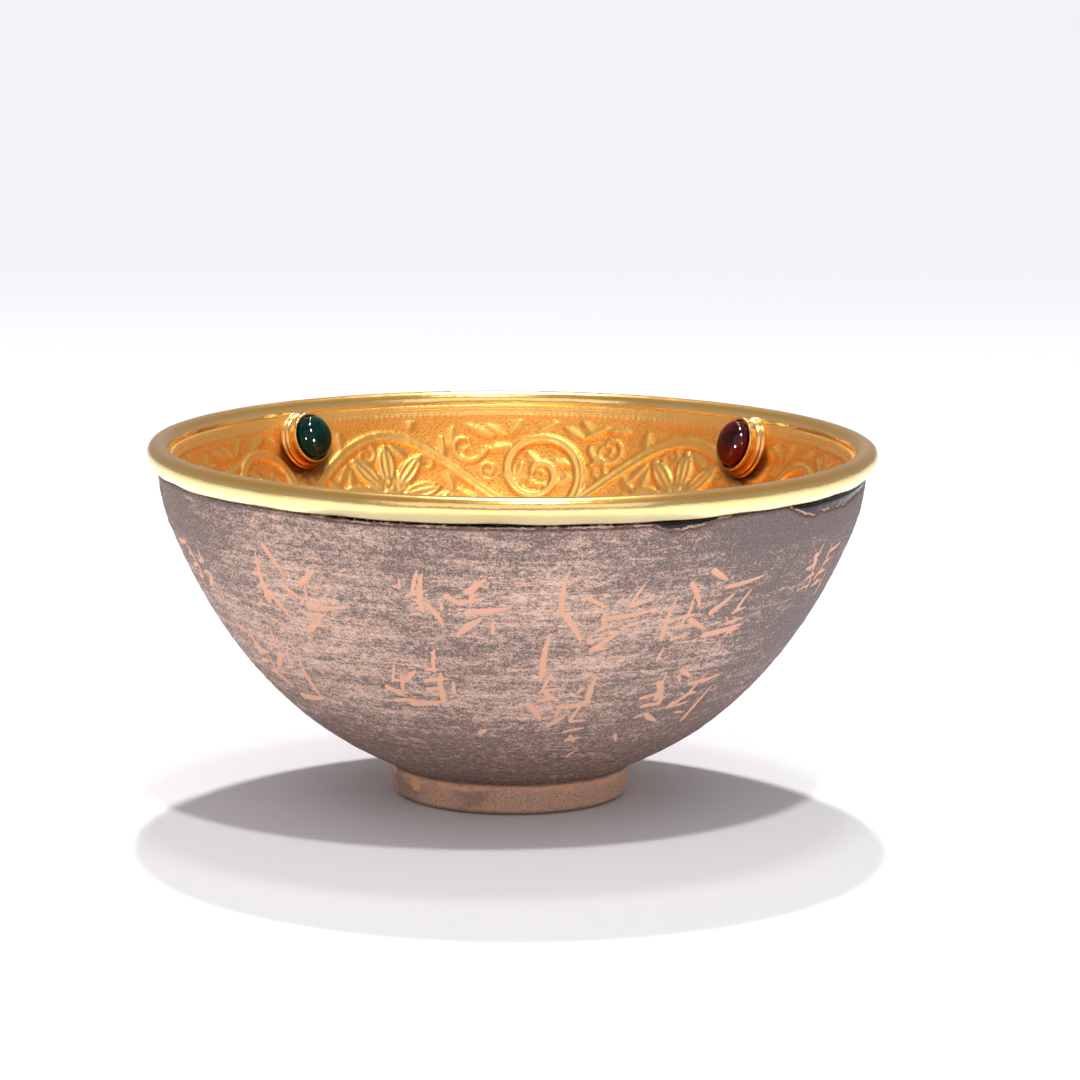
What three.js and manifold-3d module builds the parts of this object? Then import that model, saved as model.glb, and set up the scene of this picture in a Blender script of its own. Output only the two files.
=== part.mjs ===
// A stoneware tea bowl of the jian kind: lined with embossed gold sheet, bound with gold at
// the lip, and set inside with four round stones. Millimetres, +Z up, the foot ring on z = 0,
// the axis of the bowl on the Z axis, the front of the bowl towards -Y.

import * as THREE from 'three';
import { mergeVertices } from 'three/addons/utils/BufferGeometryUtils.js';
import Module from 'manifold-3d';

// Driving dimensions of the stoneware bowl
const lipRadius = 60.85;        // outside of the clay wall, carried up to the lip
const lipHeight = 60.8;         // top of the clay lip
const lipWall = 1.45;           // clay thickness at the lip
const shoulderInset = 3.8;      // how far the shoulder lies inside the lip
const shoulderDrop = 17.2;      // how far the shoulder lies below the lip
const shoulderSlope = 66.1;     // degrees from level, the wall at the shoulder
const footRadius = 20.6;        // outside of the foot ring
const footHeight = 5.4;         // foot ring, up to the crease under the wall
const footWidth = 4.8;          // thickness of the ring of clay that the bowl stands on
const footRecess = 3.4;         // depth of the hollow turned inside the foot ring
const footEdge = 0.6;           // worn edges of the foot ring
const footFlare = 51;           // degrees from level, the wall just above the crease
const floorThickness = 5.8;     // clay between the hollow of the foot and the inside

// Shape of the wall, as shares of its own spans
const lowerReach = 0.648;       // curve handle below the shoulder
const upperReach = 0.31;        // curve handle above the shoulder
const lipReach = 0.53;          // curve handle under the lip
const footReach = 0.045;        // curve handle above the foot
const floorReach = 0.78;        // curve handle of the inside, along the floor
const insideReach = 0.06;       // curve handle of the inside, down from the lip

// Driving dimensions of the gold work
const liningThickness = 0.5;    // embossed sheet, which stops under the inner leaf of the band
const bandThickness = 0.45;     // strip folded over the lip
const bandBulge = 1.6;          // how far the band swells past its own lower edge
const bandProud = 0.5;          // how far the lower edge of the band stands off the clay
const bandHeight = 4.4;         // outer leaf of the band, edge to crest
const bandInnerHeight = 2.2;    // inner leaf of the band, edge to crest
const bandCrown = 2;            // rounded top of the band
const bandRoundness = 0.85;     // 1 is an elliptical crown, less is squarer
const ribHeight = 0.6;          // raised scrolls of the lining
const ribWidth = 2.4;           // stems of the scrolls
const leafWidth = 3.6;          // petals and leaves between the scrolls
const leafLength = 8;
const friezeTop = 4.4;          // from the lip down to the top of the scrolls
const friezeDepth = 21;         // height of the scroll frieze
const beadDrop = 3.7;           // from the lip down to the plain bead above the scrolls
const beadWidth = 1;
const beadHeight = 0.35;
const medallionRadius = 14;     // ring on the floor of the lining
const scrollPairs = 6;          // a hanging bend and an arch of the stem in each pair
const scrollPhase = -20;        // degrees from the front, where the stem starts

// Driving dimensions of the stones and their settings
const redWidth = 6.5;           // along the rim
const redTall = 8.3;            // down the wall
const greenWidth = 6.9;
const greenTall = 7.6;
const stoneGirdle = 1.1;        // straight edge of the stone
const stoneDome = 2.3;          // rise of the polished dome
const stoneDrop = 6.8;          // from the lip down to the middle of the stones
const settingLip = 0.5;         // thickness of the collar round the stone
const settingHeight = 3.7;      // from the lining to the top of the collar
const settingWire = 0.7;        // wire ring round the foot of the collar
const settingBed = 1.1;         // how deep the stone sits in the collar

// Driving dimensions of the marks cut in the clay
const strokeDepth = 0.45;
const strokeWidth = 1.2;

// Fits and fineness
const fitGap = 0.3;             // between neighbouring pieces
const turns = 36;               // facets round the bowl
const ringSides = 10;           // facets round a stone
const wallSteps = 10;           // facets up the outside of the clay

const degree = Math.PI / 180;
const bandTop = lipHeight + fitGap + bandThickness;
const bandEdge = bandTop - bandHeight;
const bandFace = lipRadius - lipWall - fitGap - bandThickness;
const liningSetback = lipHeight - bandTop + bandInnerHeight + fitGap;

const wasm = await Module();
wasm.setup();

// Solids

function solidFrom(geometry) {
  const bare = geometry.clone();
  bare.deleteAttribute('normal');
  bare.deleteAttribute('uv');
  const merged = mergeVertices(bare, 1e-4);
  const corners = merged.index.array;
  const kept = [];
  for (let i = 0; i < corners.length; i += 3) {
    const [a, b, c] = [corners[i], corners[i + 1], corners[i + 2]];
    if (a !== b && b !== c && c !== a) kept.push(a, b, c);
  }
  return new wasm.Manifold(new wasm.Mesh({
    numProp: 3,
    vertProperties: new Float32Array(merged.attributes.position.array),
    triVerts: new Uint32Array(kept),
  }));
}

function geometryFrom(solid) {
  const mesh = solid.getMesh();
  const geometry = new THREE.BufferGeometry();
  geometry.setAttribute('position', new THREE.BufferAttribute(mesh.vertProperties, 3));
  geometry.setIndex(new THREE.BufferAttribute(mesh.triVerts, 1));
  geometry.computeVertexNormals();
  return geometry;
}

function joined(solids) {
  return solids.reduce((whole, next) => whole.add(next));
}

// Turns an outline of (radius, height) points round the Z axis, starting at the front
function turned(outline, facets = turns) {
  const geometry = new THREE.LatheGeometry(outline, facets);
  geometry.rotateX(Math.PI / 2);
  return solidFrom(geometry);
}

// Outlines

const point = (radius, height) => new THREE.Vector2(radius, height);
const heading = (slope, length) => point(Math.cos(slope * degree), Math.sin(slope * degree))
  .multiplyScalar(length);

// Outside of the clay wall, from the crease above the foot to the lip
function outerWall() {
  const crease = point(footRadius, footHeight);
  const shoulder = point(lipRadius - shoulderInset, lipHeight - shoulderDrop);
  const span = crease.distanceTo(shoulder);
  const wall = new THREE.CurvePath();
  wall.add(new THREE.CubicBezierCurve(
    crease,
    crease.clone().add(heading(footFlare, footReach * span)),
    shoulder.clone().sub(heading(shoulderSlope, lowerReach * span)),
    shoulder,
  ));
  wall.add(new THREE.CubicBezierCurve(
    shoulder,
    shoulder.clone().add(heading(shoulderSlope, upperReach * shoulderDrop)),
    point(lipRadius, lipHeight - lipReach * shoulderDrop),
    point(lipRadius, lipHeight),
  ));
  return wall;
}

// Inside of the clay, from the middle of the floor to the lip
function innerWall() {
  const floor = footRecess + floorThickness;
  const radius = lipRadius - lipWall;
  return new THREE.CubicBezierCurve(
    point(0, floor),
    point(floorReach * radius, floor),
    point(radius, lipHeight - insideReach * (lipHeight - floor)),
    point(radius, lipHeight),
  );
}

const clayInside = innerWall();
const insideLength = clayInside.getLength();
const clayOutside = outerWall().getSpacedPoints(wallSteps);

// A point inside the bowl: down from the lip along the clay, and off the clay by an even inset
function insidePoint(drop, inset) {
  const share = Math.max(0, 1 - drop / insideLength);
  const along = clayInside.getTangentAt(share);
  const place = clayInside.getPointAt(share);
  return point(place.x - along.y * inset, place.y + along.x * inset);
}

// The rows of facets down the inside, which the clay and both faces of the lining share
const underFrieze = friezeTop + friezeDepth;
const medallionDrop = insideLength - medallionRadius;
const insideRows = [
  liningSetback,
  beadDrop,
  ...[0.33, 0.67].map((share) => friezeTop + share * friezeDepth),
  underFrieze,
  ...[0.33, 0.67].map((share) => underFrieze + share * (medallionDrop - underFrieze)),
  medallionDrop,
  insideLength,
];

function insideOutline(inset) {
  return insideRows.map((drop) => {
    const place = insidePoint(drop, inset);
    return drop < insideLength ? place : point(0, place.y);
  });
}

// Places on a wall: a point on a turned surface, with the direction that looks away from it

// The spot on an outline where a measure, given at each of its points, has a value
function spotOn(outline, measures, value) {
  const found = measures.findIndex((measure, i) => i > 0 && measure >= value);
  const above = found < 0 ? outline.length - 1 : found;
  const [low, high] = [outline[above - 1], outline[above]];
  const share = (value - measures[above - 1]) / (measures[above] - measures[above - 1]);
  return { spot: low.clone().lerp(high, share), slope: high.clone().sub(low).normalize() };
}

// Turns a spot round to its place on the flat facets of a turned surface
function wallPlace(degrees, spot, out) {
  const facet = 360 / turns;
  const within = ((degrees % facet) + facet) % facet - facet / 2;
  const flat = Math.cos(facet / 2 * degree) / Math.cos(within * degree);
  const side = Math.sin(degrees * degree);
  const front = -Math.cos(degrees * degree);
  return {
    at: new THREE.Vector3(spot.x * flat * side, spot.x * flat * front, spot.y),
    out: new THREE.Vector3(out.x * side, out.x * front, out.y),
  };
}

// On the lining, by degrees from the front and distance down from the lip
const liningFace = insideOutline(fitGap + liningThickness);
function liningPlace(degrees, drop) {
  const { spot, slope } = spotOn(liningFace, insideRows, drop);
  return wallPlace(degrees, spot, point(slope.y, -slope.x));
}

// On the outside of the clay, by degrees from the front and height
const clayHeights = clayOutside.map((place) => place.y);
function clayPlace(degrees, height) {
  const { spot, slope } = spotOn(clayOutside, clayHeights, height);
  return wallPlace(degrees, spot, point(slope.y, -slope.x));
}

function clayRadius(height) {
  return spotOn(clayOutside, clayHeights, height).spot.x;
}

// Lays a three-sided strip along a route on a wall. The route gives the wall place at each
// share of its length and the swell gives the share of full width and height there. The strip
// stands out from the wall with its root sunk in it, or is sunk in the wall with its root out,
// and a pointed end runs through the face of the wall towards the side of the root.
function laidStrip(route, swell, width, height, root, steps, sunk = false) {
  const strip = new THREE.CylinderGeometry(1, 1, 1, 3, steps, false, sunk ? Math.PI : 0);
  const corners = strip.attributes.position;
  const nudge = 1e-3;
  for (let i = 0; i < corners.count; i += 1) {
    const share = corners.getY(i) + 0.5;
    const { at, out } = route(share);
    const along = route(share + nudge).at.sub(route(share - nudge).at).normalize();
    const across = new THREE.Vector3().crossVectors(along, out);
    const size = swell(share);
    const lift = corners.getZ(i);
    const end = (sunk ? root : -root) * (1 - size) / 2;
    at.addScaledVector(across, corners.getX(i) * width * size / Math.sqrt(3));
    at.addScaledVector(out, end + lift * size * ((lift > 0) === sunk ? 2 * root : height));
    corners.setXYZ(i, at.x, at.y, at.z);
  }
  return solidFrom(strip);
}

const even = () => 1;
const pointed = (share) => Math.sin(Math.PI * Math.round(share * 1e4) / 1e4);

// Marks in the clay: rows of shallow strokes. Each mark is given by degrees from the front,
// its middle as a share of the height from the crease to the band, width, tall and number of
// strokes.
const upperRow = [
  [-67, 0.72, 14, 12, 4], [-39, 0.72, 20, 14, 7], [-9, 0.73, 17, 10, 6],
  [14.5, 0.67, 18, 16, 6], [36, 0.7, 19, 14, 7], [64, 0.75, 14, 9, 4],
];
const lowerRow = [
  [-54, 0.41, 17, 13, 5], [-21, 0.42, 16, 8, 4], [10.5, 0.37, 12, 9, 5], [39.5, 0.37, 17, 12, 6],
];
const backMark = [0.7, 15, 11, 3];   // plainer marks carry the upper row on round the back
const backMarks = 5;

function allMarks() {
  const [from, to] = [upperRow.at(-1)[0], upperRow[0][0] + 360];
  const step = (to - from) / (backMarks + 1);
  const back = Array.from({ length: backMarks }, (_, k) => [from + step * (k + 1), ...backMark]);
  return [...upperRow, ...lowerRow, ...back];
}

// The strokes of a mark run through five kinds in turn, each kind with its own lean from level
// and length, and their middles step down the mark from side to side
const strokeKinds = [
  { lean: 8, length: 0.5, bow: -0.07 }, { lean: -58, length: 0.36, bow: 0.12 },
  { lean: 38, length: 0.3, bow: -0.07 }, { lean: 84, length: 0.46, bow: 0.12 },
  { lean: -28, length: 0.26, bow: -0.07 },
];
const sideStep = 0.38;          // share of the width between the middles of strokes in turn
const markStep = 0.37;          // the same between marks in turn
const spread = 0.85;            // share of the mark that the middles of its strokes cover

function markStrokes([degrees, level, width, tall, count], order) {
  const middle = footHeight + level * (bandEdge - footHeight);
  return Array.from({ length: count }, (_, k) => {
    const side = ((k * sideStep + order * markStep) % 1) - 0.5;
    const kind = strokeKinds[(k + order) % strokeKinds.length];
    return {
      ...kind,
      degrees,
      across: side * width * spread,
      height: middle + tall * spread * (0.5 - (k + 0.5) / count),
      length: kind.length * (width + tall) / 2,
    };
  });
}

function strokeCut({ degrees, across, height, lean, length, bow }) {
  const [cos, sin] = [Math.cos(lean * degree), Math.sin(lean * degree)];
  const route = (share) => {
    const run = (share - 0.5) * length;
    const rise = bow * length * Math.sin(Math.PI * share);
    const level = across + run * cos - rise * sin;
    const turn = level / clayRadius(height) / degree;
    return clayPlace(degrees + turn, height + run * sin + rise * cos);
  };
  return laidStrip(route, pointed, strokeWidth, strokeDepth, strokeDepth, 2, true);
}

// Stoneware bowl: thrown wall, trimmed foot ring with a hollow in it, and a lip cut back for
// the band
const edgeRadius = clayRadius(bandEdge) + bandProud;
const seatRadius = edgeRadius - 1.3 * bandThickness - fitGap;

function stonewareBowl() {
  const recessRadius = footRadius - footWidth;
  const seatHeight = bandEdge - fitGap;
  const wall = clayOutside.filter((place) => place.y < seatHeight - 1);
  const lipRound = (seatRadius - lipRadius + lipWall) / 2;
  const outline = [
    point(0, footRecess),
    point(recessRadius - footEdge, footRecess),
    point(recessRadius, footRecess - footEdge),
    point(recessRadius, footEdge),
    point(recessRadius + footEdge, 0),
    point(footRadius - 2 * footEdge, 0),
    point(footRadius - footEdge / 2, footEdge),
    ...wall,
    point(clayRadius(seatHeight), seatHeight),
    point(seatRadius, seatHeight),
    point(seatRadius, lipHeight - lipRound),
    point(seatRadius - lipRound, lipHeight),
    insidePoint(lipRound, 0),
    ...insideOutline(0),
  ];
  const cuts = allMarks().flatMap((mark, order) => markStrokes(mark, order).map(strokeCut));
  return turned(outline).subtract(joined(cuts));
}

// Running scroll of the lining: one stem waves round between the edges of the frieze. A spiral
// curls in each hanging bend, a blossom of pointed petals fills each arch, and a leaf stands at
// each crossing.
const friezeMiddle = friezeTop + friezeDepth / 2;
const friezeRadius = insidePoint(friezeMiddle, fitGap + liningThickness).x;
const bendTurn = 180 / scrollPairs;
const stemSwing = 0.36 * friezeDepth;
const spiralReach = 0.4 * friezeDepth;
const spiralEye = 0.1 * friezeDepth;
const ribRoot = 0.8 * liningThickness;
const spiralStart = 220;        // degrees round the spiral
const spiralSweep = 390;

// A place in the frieze by its bend, and millimetres across and up from the middle of that bend
function friezePlace(bend, across, up) {
  const turn = (bend + 0.5) * bendTurn + across / friezeRadius / degree;
  return liningPlace(scrollPhase + turn, friezeMiddle - up);
}

function stem() {
  const stemSteps = 8;
  const lap = 1.0005;
  const route = (share) => {
    const waves = share * lap * scrollPairs;
    const up = -stemSwing * Math.sin(waves * 2 * Math.PI);
    return friezePlace(waves * 2 - 0.5, 0, up);
  };
  return laidStrip(route, even, ribWidth, ribHeight, ribRoot, scrollPairs * stemSteps);
}

function spiral(bend) {
  const route = (share) => {
    const angle = (spiralStart - spiralSweep * share) * degree;
    const reach = spiralReach + (spiralEye - spiralReach) * share;
    return friezePlace(bend, Math.cos(angle) * reach, Math.sin(angle) * reach);
  };
  return laidStrip(route, even, ribWidth, ribHeight, ribRoot, 9);
}

// A petal or leaf starts at a place in the frieze and points along a lean from level
function petal(bend, across, up, lean) {
  const route = (share) => friezePlace(
    bend,
    across + Math.cos(lean * degree) * share * leafLength,
    up + Math.sin(lean * degree) * share * leafLength,
  );
  return laidStrip(route, pointed, leafWidth, ribHeight, ribRoot, 2);
}

function blossom(bend) {
  const base = -0.2 * friezeDepth;
  const start = 0.3 * leafLength;
  return [10, 50, 90, 130, 170].map((lean) => petal(
    bend,
    Math.cos(lean * degree) * start,
    base + Math.sin(lean * degree) * start,
    lean,
  ));
}

function raisedScrolls() {
  const scrolls = [stem()];
  for (let bend = 0; bend < 2 * scrollPairs; bend += 2) {
    scrolls.push(spiral(bend), ...blossom(bend + 1));
    scrolls.push(petal(bend + 0.5, 0.4 * leafLength, -0.5 * leafLength, -70));
    scrolls.push(petal(bend - 0.5, -0.4 * leafLength, -0.5 * leafLength, -110));
  }
  return joined(scrolls);
}

// Gold lining: a sheet that follows the clay, with its scrolls, a bead above and below them and
// a ring on the floor
const skim = 0.02;              // carving round a setting is cleared down to the plain sheet
function goldLining() {
  const inset = fitGap + liningThickness;
  const beads = [beadDrop, underFrieze, medallionDrop];
  const face = liningFace.flatMap((place, row) => (beads.includes(insideRows[row]) ? [
    insidePoint(insideRows[row] - beadWidth / 2, inset),
    insidePoint(insideRows[row], inset + beadHeight),
    insidePoint(insideRows[row] + beadWidth / 2, inset),
  ] : place));
  const outline = [...insideOutline(fitGap).reverse(), ...face];
  const clearings = joined(stones.map(settingClearing)).intersect(clearRoom(skim));
  return turned(outline).add(raisedScrolls()).subtract(clearings);
}

// Rim band: a strip folded over the lip, swelling outward and tucked in at its lower edge
function bandOutside() {
  const bandRadius = edgeRadius + bandBulge;
  const middle = (bandRadius + bandFace) / 2;
  const half = (bandRadius - bandFace) / 2;
  const crownFoot = bandTop - bandCrown;
  const points = [];
  for (const share of [1, 0.5]) {
    points.push(point(bandRadius - bandBulge * share ** 1.6, crownFoot - share * (crownFoot - bandEdge)));
  }
  const crownSteps = 5;
  for (let i = 0; i <= crownSteps; i += 1) {
    const angle = Math.PI * i / crownSteps;
    const across = Math.sign(Math.cos(angle)) * Math.abs(Math.cos(angle)) ** bandRoundness;
    points.push(point(middle + half * across, crownFoot + bandCrown * Math.sin(angle) ** bandRoundness));
  }
  points.push(point(bandFace, bandTop - bandInnerHeight));
  return points;
}

// The same outline moved inward by the thickness of the strip
function bandInside(outside) {
  return outside.map((place, i) => {
    const before = outside[Math.max(0, i - 1)];
    const after = outside[Math.min(outside.length - 1, i + 1)];
    const along = after.clone().sub(before).normalize();
    return point(place.x - along.y * bandThickness, place.y + along.x * bandThickness);
  });
}

function rimBand() {
  const outside = bandOutside();
  const inside = bandInside(outside).filter((_, i) => i !== 1).reverse();
  return turned([...outside, ...inside, outside[0]]);
}

// Stones and settings: each stands square to the lining on the middle line of the stones, by
// eye at about a quarter turn from the next. In its own frame a setting has its foot at z = 0,
// x along the rim and y up the wall.
const stones = [
  { corner: 'back_right', degrees: 131.8, width: redWidth, tall: redTall, color: 'red' },
  { corner: 'back_left', degrees: 222.3, width: greenWidth, tall: greenTall, color: 'green' },
  { corner: 'front_left', degrees: 311.5, width: redWidth, tall: redTall, color: 'red' },
  { corner: 'front_right', degrees: 41.5, width: greenWidth, tall: greenTall, color: 'green' },
];

function settingFrame(degrees) {
  const { at, out } = liningPlace(degrees, stoneDrop);
  const along = new THREE.Vector3(0, 0, 1).cross(out).normalize();
  const up = new THREE.Vector3().crossVectors(out, along);
  return new THREE.Matrix4().makeBasis(along, up, out).setPosition(at);
}

// An oval piece of a setting in its place. Its outline gives the distance out past the edge of
// the stone, or in from it, and the height off the lining.
function ovalPiece(outline, { degrees, width, tall }) {
  const mean = (width + tall) / 4;
  const round = outline.map(([past, height]) => point(past === null ? 0 : mean + past, height));
  const geometry = new THREE.LatheGeometry(round, ringSides);
  geometry.rotateX(Math.PI / 2);
  geometry.scale(width / 2 / mean, tall / 2 / mean, 1);
  return solidFrom(geometry.applyMatrix4(settingFrame(degrees)));
}

const onAxis = null;            // a point of such an outline on the middle line
const bedHeight = settingHeight - settingBed;
const collar = fitGap + settingLip;
const wire = collar + settingWire;
const rootDepth = 1.5;          // the foot of a setting before it is cut to the lining

function settingRing(stone) {
  return ovalPiece([
    [onAxis, -rootDepth],
    [wire, -rootDepth],
    [wire, settingWire],
    [collar, 2 * settingWire],
    [collar, settingHeight - settingLip / 2],
    [collar - settingLip / 2, settingHeight],
    [fitGap, settingHeight],
    [fitGap, bedHeight],
    [onAxis, bedHeight],
  ], stone);
}

// The room that carving leaves free round a setting
function settingClearing(stone) {
  return ovalPiece([
    [onAxis, -rootDepth],
    [wire + fitGap, -rootDepth],
    [wire + fitGap, settingHeight],
    [onAxis, settingHeight],
  ], stone);
}

function cabochon(stone) {
  const seat = bedHeight + fitGap;
  const edge = seat + stoneGirdle;
  const mean = (stone.width + stone.tall) / 4;
  const dome = [0.28, 0.56, 0.8].map((share) => {
    const angle = share * Math.PI / 2;
    return [mean * (Math.cos(angle) - 1), edge + stoneDome * Math.sin(angle)];
  });
  return ovalPiece([[onAxis, seat], [0, seat], [0, edge], ...dome, [onAxis, edge + stoneDome]], stone);
}

// The room inside the bowl, off the plain lining by a gap and under the band
function clearRoom(gap) {
  const mouth = bandFace - 2 * fitGap;
  const underBand = bandTop - bandInnerHeight - fitGap;
  const inset = fitGap + liningThickness + gap;
  const top = bandTop + footHeight;
  return turned([
    ...insideOutline(inset).reverse().filter((place) => place.y < underBand),
    point(insidePoint(bandInnerHeight, inset).x, underBand),
    point(mouth, underBand),
    point(mouth, top),
    point(0, top),
  ]);
}

// Finishes, and the assembled cup
function finish(color, roughness, metalness) {
  return new THREE.MeshStandardMaterial({ color, roughness, metalness });
}

const stoneware = finish(0x8a7166, 0.9, 0);
const liningGold = finish(0xe09a3c, 0.32, 1);
const bandGold = finish(0xf2d27e, 0.22, 1);
const greenStone = finish(0x12382a, 0.08, 0);
const redStone = finish(0x5c0f0c, 0.08, 0);

const cup = new THREE.Group();
function addPiece(name, solid, material) {
  const piece = new THREE.Mesh(geometryFrom(solid), material);
  piece.name = name;
  cup.add(piece);
}

addPiece('stoneware_bowl', stonewareBowl(), stoneware);
addPiece('gold_lining', goldLining(), liningGold);
addPiece('rim_band', rimBand(), bandGold);

const room = clearRoom(fitGap);
const stoneFinish = { red: redStone, green: greenStone };
stones.forEach((stone) => {
  addPiece(`bezel_${stone.corner}`, settingRing(stone).intersect(room), bandGold);
  addPiece(`stone_${stone.corner}`, cabochon(stone), stoneFinish[stone.color]);
});

export default cup;
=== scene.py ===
"""Jian ware tea bowl with a lining of embossed gold, a gold rim band and four set stones.

Sizes are in millimetres and become metres as each mesh is made. Degrees run round the bowl
from its front, which faces -Y, towards +X. "Drop" is the way down the inside from the lip.
"""
from math import radians

import bpy
import numpy as np
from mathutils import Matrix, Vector


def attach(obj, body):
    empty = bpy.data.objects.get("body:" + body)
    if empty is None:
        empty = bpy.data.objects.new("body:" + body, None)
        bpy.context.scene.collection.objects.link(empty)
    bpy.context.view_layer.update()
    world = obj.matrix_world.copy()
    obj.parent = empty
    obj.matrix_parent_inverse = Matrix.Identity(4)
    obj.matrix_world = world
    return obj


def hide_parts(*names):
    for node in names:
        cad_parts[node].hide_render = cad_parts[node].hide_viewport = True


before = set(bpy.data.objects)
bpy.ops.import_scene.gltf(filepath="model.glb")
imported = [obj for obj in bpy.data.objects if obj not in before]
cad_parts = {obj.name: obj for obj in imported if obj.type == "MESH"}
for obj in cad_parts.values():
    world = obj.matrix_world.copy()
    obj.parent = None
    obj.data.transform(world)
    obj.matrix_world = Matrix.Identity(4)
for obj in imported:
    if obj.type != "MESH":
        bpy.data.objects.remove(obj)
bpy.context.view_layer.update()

# Camera: a long lens about 74 cm in front of the bowl, 10 degrees above level, turned a
# little so that the bowl sits low and left in the frame as in the photograph.
photo_camera = bpy.data.objects.new("photo_camera", bpy.data.cameras.new("photo_camera"))
bpy.context.scene.collection.objects.link(photo_camera)
photo_camera.data.sensor_width = 36
photo_camera.data.lens = 144.26
photo_camera.data.clip_start = 0.02
photo_camera.location = (0, -0.73439, 0.17259)
photo_camera.rotation_euler = (radians(80.0708), radians(-0.4795), radians(-0.295))
bpy.context.scene.camera = photo_camera

# Stoneware bowl: dark iron-rich clay, thrown on the wheel, trimmed at the foot and left
# without glaze outside, with a speckled skin that shows throwing lines. Marks cut through the
# skin show the salmon clay under it. Dark glaze from the inside ends just under the band.
lip_radius, lip_height, lip_wall = 60.85, 60.8, 1.45
shoulder_inset, shoulder_drop, shoulder_slope = 3.8, 17.2, 66.1
shoulder = np.array([lip_radius - shoulder_inset, lip_height - shoulder_drop])
foot_radius, foot_height, foot_width, foot_recess, foot_flare = 20.6, 5.4, 4.8, 3.4, 51
floor_thickness = 5.8
floor_height = foot_recess + floor_thickness
fit_gap, lining_thickness, band_thickness = 0.3, 0.5, 0.45
band_outer_height, band_inner_height = 4.4, 2.2
band_top = lip_height + fit_gap + band_thickness
band_edge = band_top - band_outer_height
full_turn = 2 * np.pi


def cubic(handles, count):
    """A cubic curve: its four handles weighted by (1-t)^3, 3t(1-t)^2, 3t^2(1-t) and t^3."""
    a, b, c, d = np.array(handles, float)
    t = np.linspace(0, 1, count)[:, None]
    s = 1 - t
    return s**3 * a + 3 * t * s**2 * b + 3 * t**2 * s * c + t**3 * d


def heading(slope, length):
    """A step of a given length, at a slope in degrees from level."""
    return length * np.array([np.cos(np.radians(slope)), np.sin(np.radians(slope))])


def part_of(value, whole):
    """The share of a whole that a value makes up, kept from 0 to 1."""
    return np.clip(value / whole, 0, 1)


def wrapped(value, period):
    """A value moved by whole periods until it lies within half a period of zero."""
    return (value + period / 2) % period - period / 2


def lengths_along(points):
    """Distance from the first point to each point of a line of points."""
    steps = np.linalg.norm(np.diff(points, axis=0), axis=1)
    return np.concatenate([[0], np.cumsum(steps)])


def worn(corners, reach, steps=4):
    """An outline with its corners rounded: each corner becomes a quadratic curve that starts
    and ends `reach` away from it, or at the middle of a side that is shorter than twice that."""
    corners = np.array(corners, float)
    parts = [corners[:1]]
    for before, corner, after in zip(corners, corners[1:], corners[2:]):
        ends = []
        for other in (before, after):
            side = other - corner
            ends.append(corner + side * min(reach / np.linalg.norm(side), 0.5))
        t = np.linspace(0, 1, steps)[:, None]
        parts.append((1 - t)**2 * ends[0] + 2 * t * (1 - t) * corner + t**2 * ends[1])
    return np.concatenate(parts + [corners[-1:]])


def outer_wall():
    """Outside of the clay from the crease to the lip, as two cubic curves that meet at the
    shoulder, in (radius, height). A pull is the length of a handle, as a share of the span of
    the lower curve or of the rise of the upper one."""
    crease_pull, lower_pull, upper_pull, lip_pull = 0.045, 0.648, 0.31, 0.53
    crease = np.array([foot_radius, foot_height])
    span = np.linalg.norm(shoulder - crease)
    rise = lip_height - shoulder[1]
    lower = [crease, crease + heading(foot_flare, crease_pull * span),
             shoulder - heading(shoulder_slope, lower_pull * span), shoulder]
    upper = [shoulder, shoulder + heading(shoulder_slope, upper_pull * rise),
             (lip_radius, lip_height - lip_pull * rise), (lip_radius, lip_height)]
    return np.concatenate([cubic(lower, 300), cubic(upper, 200)[1:]])


def inner_wall():
    """Inside of the clay from the middle of the floor to the lip, as one cubic curve with a
    level handle and an upright one."""
    radius, depth = lip_radius - lip_wall, lip_height - floor_height
    floor_pull, lip_pull = 0.78, 0.06
    return cubic([(0, floor_height), (floor_pull * radius, floor_height),
                  (radius, lip_height - lip_pull * depth), (radius, lip_height)], 800)


clay_outside = outer_wall()
clay_inside = inner_wall()
outside_length = lengths_along(clay_outside)
inside_length = lengths_along(clay_inside)
clay_facing = np.gradient(clay_inside, inside_length, axis=0) @ np.array([[0, 1], [-1, 0]])


def clay_radius(height):
    """Radius of the outside of the clay at a height."""
    return np.interp(height, clay_outside[:, 1], clay_outside[:, 0])


def inside_place(drop, inset):
    """(radius, height) at a drop from the lip down the inside of the clay, moved off the clay
    by an inset along the direction that the wall faces."""
    along = inside_length[-1] - np.asarray(drop, float)
    place = [np.interp(along, inside_length, clay_inside[:, k]) for k in (0, 1)]
    face = [np.interp(along, inside_length, clay_facing[:, k]) for k in (0, 1)]
    return place[0] + face[0] * inset, place[1] + face[1] * inset


def ripple(angle, along, waves, seed):
    """Smooth unevenness that closes on itself round the bowl: the mean of cosines, each with
    a whole number of waves round, some waves per millimetre along, and a random phase."""
    draw = np.random.default_rng(seed)
    total = 0
    for count, per_mm in waves:
        total = total + np.cos(count * angle + full_turn * (per_mm * along + draw.random()))
    return total / len(waves)


def nearest_spot(segments):
    """Distance from each point to a path, and how far along the path its nearest spot lies,
    from 0 to 1. A segment gives the way to each point from its start, and to its end."""
    nearest, place = np.inf, 0
    for k, (px, py, dx, dy) in enumerate(segments):
        t = part_of(px * dx + py * dy, dx**2 + dy**2)
        away = np.hypot(px - t * dx, py - t * dy)
        place = np.where(away < nearest, (k + t) / len(segments), place)
        nearest = np.minimum(nearest, away)
    return nearest, place


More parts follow.
